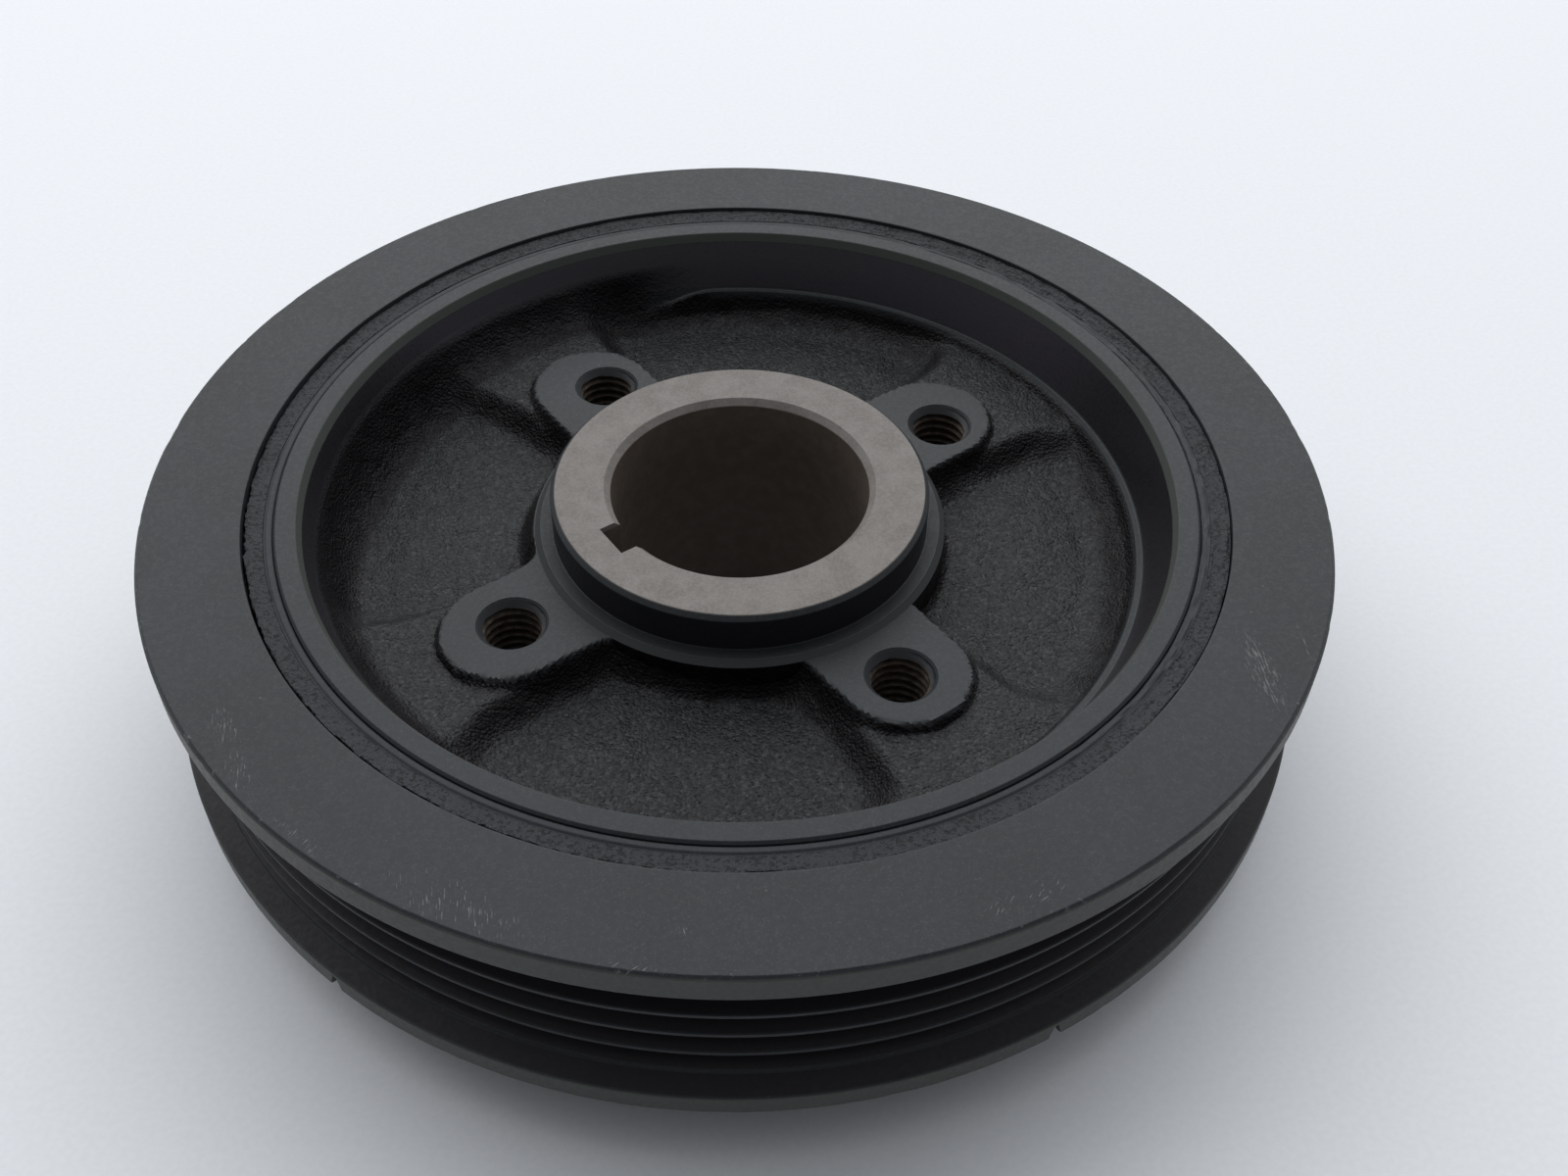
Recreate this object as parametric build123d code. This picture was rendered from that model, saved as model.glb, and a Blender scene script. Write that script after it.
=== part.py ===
from build123d import *
import math
import os

# Harmonic balancer (crank pulley) for a five-rib poly-V belt.
# A cast-iron hub carries a cast-iron belt ring through a bonded rubber ring.
# The frame: millimetres, +Z along the crank axis towards the bolt side,
# the origin on the axis in the plane of the hub's rear end, which it stands on.

# Belt ring, with poly-V (PK) grooves between two flanges
groove_count = 5
groove_pitch = 3.56
groove_angle = 40.0
groove_depth = 3.0
crest_width = 0.5
crest_diameter = 137.2
flange_height = 2.6           # from the rib crests to the flange rim
flange_root_width = 4.1       # axial width of each flange where the grooves start
front_flange_width = 3.65     # axial width of the front flange at its rim
rear_flange_width = 3.25      # axial width of the rear flange at its rim
ring_chamfer = 0.65
ring_wall = 9.2               # from the rib crests in to the ring's bore

# Timing notches, cut into the rear edge of the rear flange
notch_angles = [231.9, 297.8]
notch_base_width = 2.0
notch_top_width = 0.8
notch_height = 2.8
notch_depth = 2.4

# Rubber ring, bonded between the hub's rim and the belt ring
rubber_thickness = 3.6
rubber_set_back = 0.8         # from the belt ring's faces to the rubber's ends

# Hub: rim and dished web
rim_width = 2.6               # front face of the rim
rim_set_back = 0.35           # from the belt ring's faces to the rim's faces
rim_edge_chamfer = 0.3
mouth_chamfer_width = 0.55
mouth_chamfer_height = 1.15
dish_depth = 8.0              # from the belt ring's front face to the machined plane
dish_wall_lean = 2.45         # how far the dish wall comes in from mouth to floor
ledge_width = 0.5             # machined ledge at the foot of the dish wall
land_slope_width = 2.7        # cast land that falls from the ledge to the ribs
rib_drop = 0.8                # cast ribs below the machined plane
pocket_depth = 4.0            # pocket floor below the machined plane
pocket_margin = 2.0           # from the foot of the dish wall in to the pockets
rear_dish_depth = 8.0
rear_rim_width = 3.2          # rear face of the rim
rear_corner_chamfer = 2.4

# Hub: bore, keyway, nose and rear snout
bore_diameter = 32.0
bore_chamfer = 0.8
nose_wall = 7.4
nose_set_back = 2.2           # from the belt ring's front face to the nose face
nose_chamfer = 0.6
step_width = 1.6              # turned step at the foot of the nose
step_height = 0.7
step_foot_width = 0.7
snout_wall = 8.0
snout_projection = 10.0       # from the belt ring's rear face to the hub's rear end
snout_chamfer = 1.0
key_width = 5.0
key_depth = 2.65              # from the bore's wall to the floor of the keyway
key_angle = 214.3

# Threaded holes (M8 x 1.25) in the four ears
hole_count = 4
hole_circle_diameter = 65.0
thread_minor_diameter = 6.8
hole_mouth_diameter = 8.6
hole_mouth_depth = 0.45       # shallow countersink
first_hole_angle = key_angle

# Casting: boss, ears, ribs and pockets, slightly off the machined centre
cast_shift_x = -0.8
cast_shift_y = 0.3
cast_turn = 1.9
boss_margin = 0.4             # from the turned step out to the cast boss
ear_overhang = 0.5            # ear centres outside the hole circle
ear_width = 16.4
neck_width = 16.0             # between the pockets beside an ear
rib_root_margin = 2.6         # from the boss out to where the rib starts to flare
rib_flare_width = 29.0        # width of the flared rib at the pockets' outer wall
rib_bow = 0.32                # share of the flare that is reached half-way along it
pocket_root_radius = 4.0      # plan corners beside the boss
pocket_corner_radius = 8.0    # plan corners beside the dish wall
pocket_draft = 24.0
pocket_floor_bevel = 2.0

# Radii, from the rib crests inwards and from the bore outwards
crest_r = crest_diameter / 2
flange_r = crest_r + flange_height
ring_bore_r = crest_r - ring_wall
rim_r = ring_bore_r - rubber_thickness
mouth_r = rim_r - rim_width
rear_mouth_r = rim_r - rear_rim_width
dish_wall_r = mouth_r - mouth_chamfer_width
dish_floor_r = dish_wall_r - dish_wall_lean
ledge_r = dish_floor_r - ledge_width
land_r = ledge_r - land_slope_width
pocket_outer_r = dish_floor_r - pocket_margin
bore_r = bore_diameter / 2
nose_r = bore_r + nose_wall
step_r = nose_r + step_width
step_foot_r = step_r + step_foot_width
snout_r = bore_r + snout_wall
boss_r = step_r + boss_margin
rib_root_r = boss_r + rib_root_margin
hole_circle_r = hole_circle_diameter / 2
ear_circle_r = hole_circle_r + ear_overhang

# Levels along the axis
belt_land = groove_count * groove_pitch
ring_width = belt_land + 2 * flange_root_width
ring_rear_z = snout_projection
ring_front_z = ring_rear_z + ring_width
belt_mid_z = ring_rear_z + ring_width / 2
rim_rear_z = ring_rear_z + rim_set_back
rim_front_z = ring_front_z - rim_set_back
nose_z = ring_front_z - nose_set_back
dish_z = ring_front_z - dish_depth
step_z = dish_z + step_height
rib_z = dish_z - rib_drop
pocket_z = dish_z - pocket_depth
web_rear_z = ring_rear_z + rear_dish_depth

overrun = 1.0                 # how far the cutters run past the faces that they open

cast_frame = Location((cast_shift_x, cast_shift_y, 0), (0, 0, first_hole_angle + cast_turn))


def turned(points):
    """One solid turned about the axis from (radius, height) points."""
    with BuildPart() as body:
        with BuildSketch(Plane.XZ):
            with BuildLine():
                Polyline(*points, close=True)
            make_face()
        revolve(axis=Axis.Z)
    return body.part


def groove_points():
    """Section points of the belt grooves, from the rear to the front."""
    half_top = (groove_pitch - crest_width) / 2
    half_root = half_top - groove_depth * math.tan(math.radians(groove_angle / 2))
    root_r = crest_r - groove_depth
    points = []
    for i in range(groove_count):
        centre_z = belt_mid_z + (i - (groove_count - 1) / 2) * groove_pitch
        points.append((crest_r, centre_z - half_top))
        points.append((root_r, centre_z - half_root))
        points.append((root_r, centre_z + half_root))
        points.append((crest_r, centre_z + half_top))
    return points


def timing_notch(angle):
    """Cutter for one timing notch: a trapezoid that opens at the rear face."""
    flare = (notch_base_width - notch_top_width) / 2 / notch_height * overrun
    outside = Plane(
        origin=(flange_r + overrun, 0, ring_rear_z),
        x_dir=(0, 1, 0),
        z_dir=(-1, 0, 0),
    )
    with BuildPart() as cutter:
        with BuildSketch(outside):
            with BuildLine():
                Polyline(
                    (-notch_base_width / 2 - flare, overrun),
                    (-notch_top_width / 2, -notch_height),
                    (notch_top_width / 2, -notch_height),
                    (notch_base_width / 2 + flare, overrun),
                    close=True,
                )
            make_face()
        extrude(amount=notch_depth + overrun)
    return Rot(0, 0, angle) * cutter.part


def belt_ring():
    """Belt ring: flat faces, two flanges, the poly-V grooves and the timing notches."""
    outline = [
        (ring_bore_r, ring_rear_z),
        (flange_r - ring_chamfer, ring_rear_z),
        (flange_r, ring_rear_z + ring_chamfer),
        (flange_r, ring_rear_z + rear_flange_width),
        *groove_points(),
        (flange_r, ring_front_z - front_flange_width),
        (flange_r, ring_front_z - ring_chamfer),
        (flange_r - ring_chamfer, ring_front_z),
        (ring_bore_r, ring_front_z),
    ]
    ring = turned(outline)
    for angle in notch_angles:
        ring = ring - timing_notch(angle)
    return ring


def rubber_ring():
    """Rubber ring that fills the gap between the hub's rim and the belt ring."""
    front_z = ring_front_z - rubber_set_back
    rear_z = ring_rear_z + rubber_set_back
    outline = [
        (rim_r, rear_z),
        (ring_bore_r, rear_z),
        (ring_bore_r, front_z),
        (rim_r, front_z),
    ]
    return turned(outline)


def hub_blank():
    """Hub turned all over: rim, dished web, nose with its step, snout and bore."""
    edge = rim_edge_chamfer
    corner = rear_corner_chamfer
    rear_wall_lean = (rear_mouth_r - dish_floor_r) / (web_rear_z - rim_rear_z) * corner
    outline = [
        (bore_r + bore_chamfer, 0),
        (snout_r - snout_chamfer, 0),
        (snout_r, snout_chamfer),
        (snout_r, web_rear_z - corner),
        (snout_r + corner, web_rear_z),
        (dish_floor_r - corner, web_rear_z),
        (dish_floor_r + rear_wall_lean, web_rear_z - corner),
        (rear_mouth_r, rim_rear_z),
        (rim_r - edge, rim_rear_z),
        (rim_r, rim_rear_z + edge),
        (rim_r, rim_front_z - edge),
        (rim_r - edge, rim_front_z),
        (mouth_r, rim_front_z),
        (dish_wall_r, rim_front_z - mouth_chamfer_height),
        (dish_floor_r, dish_z),
        (ledge_r, dish_z),
        (land_r, rib_z),
        (step_foot_r, rib_z),
        (step_foot_r, dish_z),
        (step_r, step_z),
        (nose_r, step_z),
        (nose_r, nose_z - nose_chamfer),
        (nose_r - nose_chamfer, nose_z),
        (bore_r + bore_chamfer, nose_z),
        (bore_r, nose_z - bore_chamfer),
        (bore_r, bore_chamfer),
    ]
    return turned(outline)


def ear_pads():
    """Machined pads: four round-ended ears that run out from the boss."""
    with BuildPart() as pads:
        with BuildSketch(Plane.XY.offset(pocket_z)):
            Circle(rib_root_r)
            with PolarLocations(0, hole_count):
                with Locations((ear_circle_r / 2, 0)):
                    Rectangle(ear_circle_r, ear_width)
                with Locations((ear_circle_r, 0)):
                    Circle(ear_width / 2)
            Circle(nose_r, mode=Mode.SUBTRACT)
        extrude(amount=dish_z - pocket_z)
    return cast_frame * pads.part


def rib_plan(inset):
    """Plan of one cast rib: parallel beside the ear, then flared towards the rim."""
    reach = pocket_outer_r + overrun
    neck = neck_width / 2 + inset
    flare = rib_flare_width / 2 + inset
    middle_r = (rib_root_r + reach) / 2
    bow = neck + (flare - neck) * rib_bow
    outline = [
        Polyline((rib_root_r, neck), (0, neck), (0, -neck), (rib_root_r, -neck)),
        ThreePointArc((rib_root_r, -neck), (middle_r, -bow), (reach, -flare)),
        Line((reach, -flare), (reach, flare)),
        ThreePointArc((reach, flare), (middle_r, bow), (rib_root_r, neck)),
    ]
    return make_face(Curve() + outline)


def pocket_plan(inset):
    """Plan of one pocket, moved in by inset all round, between two neighbouring ribs."""
    step_angle = 360 / hole_count
    middle_r = (boss_r + pocket_outer_r) / 2
    rib = rib_plan(inset)
    plan = Circle(pocket_outer_r - inset) - Circle(boss_r + inset)
    plan = plan - rib - Rot(0, 0, step_angle) * rib
    middle = Rot(0, 0, step_angle / 2) * Pos(middle_r, 0, 0)
    pocket = plan.faces().sort_by_distance(middle.position)[0]
    corners = pocket.vertices().sort_by(lambda corner: math.hypot(corner.X, corner.Y))
    pocket = pocket.fillet_2d(pocket_root_radius - inset, corners[:2])
    corners = pocket.vertices().sort_by(lambda corner: math.hypot(corner.X, corner.Y))
    return pocket.fillet_2d(pocket_corner_radius - inset, corners[-2:])


def pocket_cutter():
    """Cutter for the cast pockets, with draft on the walls and a bevel round the floor."""
    bevel = pocket_floor_bevel
    bevel_z = pocket_z + bevel
    inset = (step_z - bevel_z) * math.tan(math.radians(pocket_draft))
    mouth = Pos(0, 0, step_z) * pocket_plan(0)
    wall_foot = Pos(0, 0, bevel_z) * pocket_plan(inset)
    floor = Pos(0, 0, pocket_z) * pocket_plan(inset + bevel)
    pocket = loft([mouth, wall_foot, floor], ruled=True)
    pockets = [spot * pocket for spot in PolarLocations(0, hole_count)]
    return cast_frame * Compound(children=pockets)


def threaded_hole():
    """Cutter for one threaded hole at the thread's minor diameter, with a chamfered mouth."""
    minor_r = thread_minor_diameter / 2
    mouth_r = hole_mouth_diameter / 2
    top_z = step_z + overrun
    bottom_z = web_rear_z - overrun
    section = [
        (0, top_z),
        (mouth_r, top_z),
        (mouth_r, dish_z),
        (minor_r, dish_z - hole_mouth_depth),
        (minor_r, bottom_z),
        (0, bottom_z),
    ]
    return turned(section)


def keyway_cutter():
    """Cutter for the keyway along the whole bore."""
    box = Box(
        bore_r + key_depth,
        key_width,
        nose_z + 2 * overrun,
        align=(Align.MIN, Align.CENTER, Align.MIN),
    )
    return Rot(0, 0, key_angle) * Pos(0, 0, -overrun) * box


def hub():
    """Cast hub with its machined faces, pockets, threaded ears, bore and keyway."""
    body = hub_blank() + ear_pads() - pocket_cutter()
    hole = threaded_hole()
    for i in range(hole_count):
        angle = first_hole_angle + i * 360 / hole_count
        body = body - Rot(0, 0, angle) * Pos(hole_circle_r, 0, 0) * hole
    return body - keyway_cutter()


def main():
    os.makedirs("parts", exist_ok=True)
    nodes = {
        "belt_ring": belt_ring(),
        "rubber_ring": rubber_ring(),
        "hub": hub(),
    }
    for name, shape in nodes.items():
        export_step(shape, f"parts/{name}.step")


main()
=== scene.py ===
"""Looks of the harmonic balancer: detailed meshes, materials, floor, light and camera.

Shapes are written in millimetres and degrees; MM turns them into metres where a mesh or a
node tree takes them. The crank axis is Z, and the front of the part faces up.
"""
import math

import bmesh
import bpy
import numpy as np
from mathutils import Matrix, Vector


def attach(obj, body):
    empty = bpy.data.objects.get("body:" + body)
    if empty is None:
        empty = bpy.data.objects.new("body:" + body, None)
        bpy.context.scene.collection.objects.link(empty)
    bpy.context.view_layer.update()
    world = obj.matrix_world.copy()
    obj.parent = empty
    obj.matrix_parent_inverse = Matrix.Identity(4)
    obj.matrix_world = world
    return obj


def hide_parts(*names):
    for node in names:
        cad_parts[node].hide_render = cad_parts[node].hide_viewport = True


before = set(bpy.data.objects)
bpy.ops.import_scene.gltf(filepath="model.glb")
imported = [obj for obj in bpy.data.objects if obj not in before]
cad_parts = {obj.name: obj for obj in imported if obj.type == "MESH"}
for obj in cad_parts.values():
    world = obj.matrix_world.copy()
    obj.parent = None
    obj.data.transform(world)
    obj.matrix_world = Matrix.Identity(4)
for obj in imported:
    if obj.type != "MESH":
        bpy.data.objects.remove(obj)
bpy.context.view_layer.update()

MM = 0.001

# ---------------------------------------------------------------- dimensions
# Belt ring
CREST_R = 68.6
FLANGE_R = 71.2
RING_BORE_R = 59.4
RING_REAR_Z = 10.0
RING_FRONT_Z = 36.0
FLANGE_ROOT = 4.1
FRONT_FLANGE = 3.65
REAR_FLANGE = 3.25
RING_CHAMFER = 0.65
RING_FRONT_CHAMFER = 0.4
GROOVES = 5
PITCH = 3.56
GROOVE_DEPTH = 3.0
GROOVE_HALF_ANGLE = 20.0
CREST_WIDTH = 0.5
NICK_R = 71.0
NOTCHES = ((231.9, 0.2), (297.8, -0.1))  # angle, and how far the point leans
RING_SEGMENTS = 640
# Rubber ring
RIM_R = 55.8
RUBBER_FRONT_Z = 35.2
RUBBER_REAR_Z = 10.8
RUBBER_SEGMENTS = 1800
# Hub: rim and dish
RIM_FRONT_Z = 35.65
RIM_REAR_Z = 10.35
MOUTH_R = 53.2
DISH_WALL_R = 52.65
DISH_WALL_Z = 34.5
DISH_FLOOR_R = 50.2
DISH_Z = 28.0
REAR_MOUTH_R = 52.6
HUB_SEGMENTS = 500
# Hub: nose, step and snout
BORE_R = 16.0
BORE_CHAMFER = 0.8
NOSE_R = 23.4
NOSE_CHAMFER = 0.6
NOSE_Z = 33.8
STEP_R = 25.0
STEP_FOOT_R = 25.7
STEP_Z = 28.7
SNOUT_R = 24.0
KEY_ANGLE = 214.3
KEY_WIDTH = 5.0
KEY_DEPTH = 2.65
# Hub: cast web, whose pattern is shifted and turned against the machined surfaces
CAST_SHIFT = (-0.8, 0.3)
CAST_TURN = 216.2
LEDGE_R = 49.5
LAND_R = 48.3
WEB_REAR_Z = 18.0
MID_WEB_Z = 20.0
WEB_STEP = 0.4
RIB_Z = 26.9
RIB_ROOT_R = 28.0
RIB_FLARE_HALF = 11.4
RIB_LEAN = (-1.0, -0.6, 0.0, 3.4)  # sideways shift of each rib's outer end
RIB_WALL_SLOPE = 1.7
POCKET_Z = 24.0
POCKET_OUTER_R = 49.9
OUTER_WALL_SLOPE = 1.0
BOSS_R = 25.4
EAR_CIRCLE_R = 33.0
EAR_R = 8.2
NECK_HALF = 8.0
PAD_WALL_SLOPE = 2.6
# Hub: cast fillet beside the dish wall
FILLET_ANGLE = 168.0
FILLET_START_R = 45.6
FILLET_MIDDLE_R = 49.6
FILLET_TOP_Z = 32.2
# Hub: threaded holes
HOLE_CIRCLE_R = 32.5
HOLE_ANGLES = (214.3, 304.3, 34.3, 124.3)
HOLE_R = 4.12
COUNTERSINK_R = 4.3
THREAD_PITCH = 1.25
THREAD_MINOR_R = 3.36
THREAD_MAJOR_R = 3.98
THREAD_MOUTH_R = 4.29
SLEEVE_R = 4.2
HOLE_SEGMENTS = 48


# ---------------------------------------------------------------- seeded noise
def lattice(seed, size=64):
    """One periodic grid of random numbers from -1 to 1."""
    return np.random.default_rng(seed).uniform(-1.0, 1.0, (size, size))


def noise2(x, y, scale, seed):
    """Smooth value noise over a plane; scale is the size of its spots in the units of x."""
    grid = lattice(seed)
    n = grid.shape[0]
    u = np.asarray(x) / scale
    v = np.asarray(y) / scale
    iu = np.floor(u).astype(int)
    iv = np.floor(v).astype(int)
    fu = u - iu
    fv = v - iv
    fu = fu * fu * fu * (fu * (fu * 6 - 15) + 10)
    fv = fv * fv * fv * (fv * (fv * 6 - 15) + 10)
    a = grid[iu % n, iv % n]
    b = grid[(iu + 1) % n, iv % n]
    c = grid[iu % n, (iv + 1) % n]
    d = grid[(iu + 1) % n, (iv + 1) % n]
    return (a * (1 - fu) + b * fu) * (1 - fv) + (c * (1 - fu) + d * fu) * fv


def fractal(x, y, scale, seed, octaves=3, gain=0.55):
    """Sum of noise2 at falling sizes."""
    total = np.zeros(np.broadcast(x, y).shape)
    weight = 1.0
    for i in range(octaves):
        total = total + weight * noise2(x, y, scale / 2**i, seed + i)
        weight *= gain
    return total


def ring_noise(theta, radius, scale, seed, octaves=2):
    """Noise along a circle: closed, because it is read from the plane of the circle."""
    return fractal(radius * np.cos(theta), radius * np.sin(theta), scale, seed, octaves)


# ---------------------------------------------------------------- curves
def smoothstep(low, high, x):
    """0 at low and 1 at high, with soft ends; low may be the larger of the two."""
    t = np.clip((x - low) / (high - low), 0.0, 1.0)
    return t * t * (3 - 2 * t)


def smooth_min(a, b, blend):
    """The smaller of a and b, rounded over where they differ by less than blend."""
    h = np.clip(0.5 + 0.5 * (b - a) / blend, 0.0, 1.0)
    return b * (1 - h) + a * h - blend * h * (1 - h)


def smooth_max(a, b, blend):
    """The larger of a and b, rounded over in the same way."""
    return -smooth_min(-a, -b, blend)


def hump(x, centre, width):
    """Bell curve: 1 at centre, 0.37 at width to either side."""
    return np.exp(-(((x - centre) / width) ** 2))


def bend(start, middle, end, t):
    """Quadratic curve from start to end that is drawn towards middle."""
    return start * (1 - t) ** 2 + middle * 2 * t * (1 - t) + end * t * t


def angle_gap(theta, centre_deg):
    """Angle from centre_deg, in degrees, from -180 to 180."""
    return (np.degrees(theta) - centre_deg + 180.0) % 360.0 - 180.0


# ---------------------------------------------------------------- meshes
BOX_FACES = ((0, 1, 2, 3), (7, 6, 5, 4), (0, 4, 5, 1), (1, 5, 6, 2), (2, 6, 7, 3), (3, 7, 4, 0))


def rounded(points, arc_steps, support=0.1):
    """Closed polyline from (r, z, corner radius) points.

    Each rounded corner is an arc with a support point beside either end, so that smooth
    shading stays within the corner."""
    most = 0.46  # largest share of a side that a corner may take
    out = []
    for i, (r, z, corner) in enumerate(points):
        here = Vector((r, z))
        before = Vector(points[i - 1][:2])
        after = Vector(points[(i + 1) % len(points)][:2])
        d_in = here - before
        d_out = after - here
        if corner <= 0 or d_in.length < 1e-6 or d_out.length < 1e-6:
            out.append((r, z))
            continue
        reach = corner * math.tan(d_in.angle(d_out) / 2)
        reach = min(reach, most * d_in.length, most * d_out.length)
        start = here - d_in.normalized() * reach
        end = here + d_out.normalized() * reach
        lead = min(support, 0.3 * (d_in.length - reach))
        out.append(tuple(start - d_in.normalized() * lead))
        for k in range(arc_steps + 1):
            out.append(tuple(bend(start, here, end, k / arc_steps)))
        lead = min(support, 0.3 * (d_out.length - reach))
        out.append(tuple(end + d_out.normalized() * lead))
    return out


def mesh_object(name, points, faces):
    """Object with a mesh of these points (metres) and faces, put in the scene."""
    mesh = bpy.data.meshes.new(name)
    mesh.from_pydata([tuple(p) for p in points], [], faces)
    mesh.update()
    obj = bpy.data.objects.new(name, mesh)
    bpy.context.scene.collection.objects.link(obj)
    return obj


def fix_normals(obj):
    """Turns all faces outwards."""
    bm = bmesh.new()
    bm.from_mesh(obj.data)
    bmesh.ops.recalc_face_normals(bm, faces=bm.faces)
    bm.to_mesh(obj.data)
    bm.free()


def lathe(name, profile, segments, shape):
    """Closed mesh turned about Z from a closed (r, z) profile.

    shape(r, z, theta) moves the points; it takes arrays and returns the new r and z."""
    profile = np.array(profile)
    rows = len(profile)
    theta = np.linspace(0, 2 * math.pi, segments, endpoint=False)
    r = np.repeat(profile[:, 0][:, None], segments, axis=1)
    z = np.repeat(profile[:, 1][:, None], segments, axis=1)
    th = np.repeat(theta[None, :], rows, axis=0)
    r, z = shape(r, z, th)
    points = np.stack([r * np.cos(th), r * np.sin(th), z], -1).reshape(-1, 3) * MM
    i = np.arange(rows)[:, None] * segments
    i2 = (i + segments) % (rows * segments)
    j = np.arange(segments)[None, :]
    j2 = (j + 1) % segments
    quads = np.stack([i + j, i + j2, i2 + j2, i2 + j], -1).reshape(-1, 4)
    obj = mesh_object(name, points.tolist(), quads.tolist())
    fix_normals(obj)
    return obj


def apply_modifiers(obj):
    """Replaces the object's mesh by what its modifiers give."""
    graph = bpy.context.evaluated_depsgraph_get()
    mesh = bpy.data.meshes.new_from_object(obj.evaluated_get(graph))
    obj.modifiers.clear()
    obj.data = mesh


def cut(obj, cutter):
    """Takes the cutter's solid away from the object's mesh, and deletes the cutter."""
    modifier = obj.modifiers.new("cut", "BOOLEAN")
    modifier.operation = "DIFFERENCE"
    modifier.solver = "EXACT"
    modifier.object = cutter
    apply_modifiers(obj)
    bpy.data.objects.remove(cutter)


def smooth(obj, angle):
    """Smooth shading with sharp edges past the angle, weighted by face area."""
    mesh = obj.data
    for poly in mesh.polygons:
        poly.use_smooth = True
    mesh.set_sharp_from_angle(angle=math.radians(angle))
    modifier = obj.modifiers.new("weighted", "WEIGHTED_NORMAL")
    modifier.keep_sharp = True
    apply_modifiers(obj)


def write_attribute(obj, name, values):
    """Stores one number for each point, for the materials to read."""
    layer = obj.data.attributes.new(name, "FLOAT", "POINT")
    layer.data.foreach_set("value", np.asarray(values, np.float32))


def positions(obj):
    """The points of the object's mesh, in mm."""
    co = np.zeros(len(obj.data.vertices) * 3)
    obj.data.vertices.foreach_get("co", co)
    return co.reshape(-1, 3) / MM


# ---------------------------------------------------------------- belt ring
def ring_profile():
    """Section of the belt ring, with small radii on its edges."""
    half_top = (PITCH - CREST_WIDTH) / 2
    half_root = half_top - GROOVE_DEPTH * math.tan(math.radians(GROOVE_HALF_ANGLE))
    middle = (RING_REAR_Z + RING_FRONT_Z) / 2
    points = [
        (RING_BORE_R, RING_REAR_Z, 0.25),
        (FLANGE_R - RING_CHAMFER, RING_REAR_Z, 0.12),
        (FLANGE_R, RING_REAR_Z + RING_CHAMFER, 0.2),
        (FLANGE_R, RING_REAR_Z + REAR_FLANGE, 0.25),
        (CREST_R, RING_REAR_Z + FLANGE_ROOT, 0.15),
    ]
    for k in range(GROOVES):
        z = middle + (k - (GROOVES - 1) / 2) * PITCH
        points += [
            (CREST_R, z - half_top, 0.16),
            (CREST_R - GROOVE_DEPTH, z - half_root, 0.25),
            (CREST_R - GROOVE_DEPTH, z + half_root, 0.25),
            (CREST_R, z + half_top, 0.16),
        ]
    points += [
        (CREST_R, RING_FRONT_Z - FLANGE_ROOT, 0.15),
        (FLANGE_R, RING_FRONT_Z - FRONT_FLANGE, 0.25),
        (FLANGE_R, RING_FRONT_Z - RING_FRONT_CHAMFER, 0.15),
        (FLANGE_R - RING_FRONT_CHAMFER, RING_FRONT_Z, 0.12),
        (RING_BORE_R, RING_FRONT_Z, 0.18),
    ]
    return rounded(points, arc_steps=2)


def ring_shape(r, z, th):
    """Nicks along the outer edges of both flanges."""
    depth = 0.18 * np.clip(ring_noise(th, NICK_R, scale=2.2, seed=31) - 0.55, 0, 1)
    front = hump(r, NICK_R, 0.5) * hump(z, RING_FRONT_Z - 0.3, 0.5)
    rear = hump(r, NICK_R, 0.5) * hump(z, RING_REAR_Z + 0.3, 0.5)
    return r - depth * (front + rear), z


def notch_cutter(angle, lean):
    """Prism for one timing notch that opens at the rear face."""
    low = RING_REAR_Z - 1.0
    high = RING_REAR_Z + 2.8
    outline = [(-1.25, low), (1.25, low), (0.3 + lean, high - 0.1), (-0.25 + lean, high)]
    turn = Matrix.Rotation(math.radians(angle), 4, "Z")
    points = [
        turn @ (Vector((radius, y, z)) * MM)
        for radius in (FLANGE_R - 2.4, FLANGE_R + 2.0)
        for y, z in outline
    ]
    cutter = mesh_object("cutter", points, BOX_FACES)
    fix_normals(cutter)
    return cutter


def make_belt_ring():
    """The belt ring with its grooves and its two timing notches."""
    obj = lathe("belt_ring_detail", ring_profile(), RING_SEGMENTS, ring_shape)
    for angle, lean in NOTCHES:
        cut(obj, notch_cutter(angle, lean))
    smooth(obj, 35.0)
    return obj


# ---------------------------------------------------------------- rubber ring
def rubber_profile():
    """Section of the rubber ring, with close points across its front face."""
    width = RING_BORE_R - RIM_R
    middle = (RUBBER_FRONT_Z + RUBBER_REAR_Z) / 2
    front = [(RIM_R + width * k / 26, RUBBER_FRONT_Z) for k in range(27)]
    rear = [(RING_BORE_R - width * k / 8, RUBBER_REAR_Z) for k in range(9)]
    return front + [(RING_BORE_R, middle)] + rear + [(RIM_R, middle)]


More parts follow.
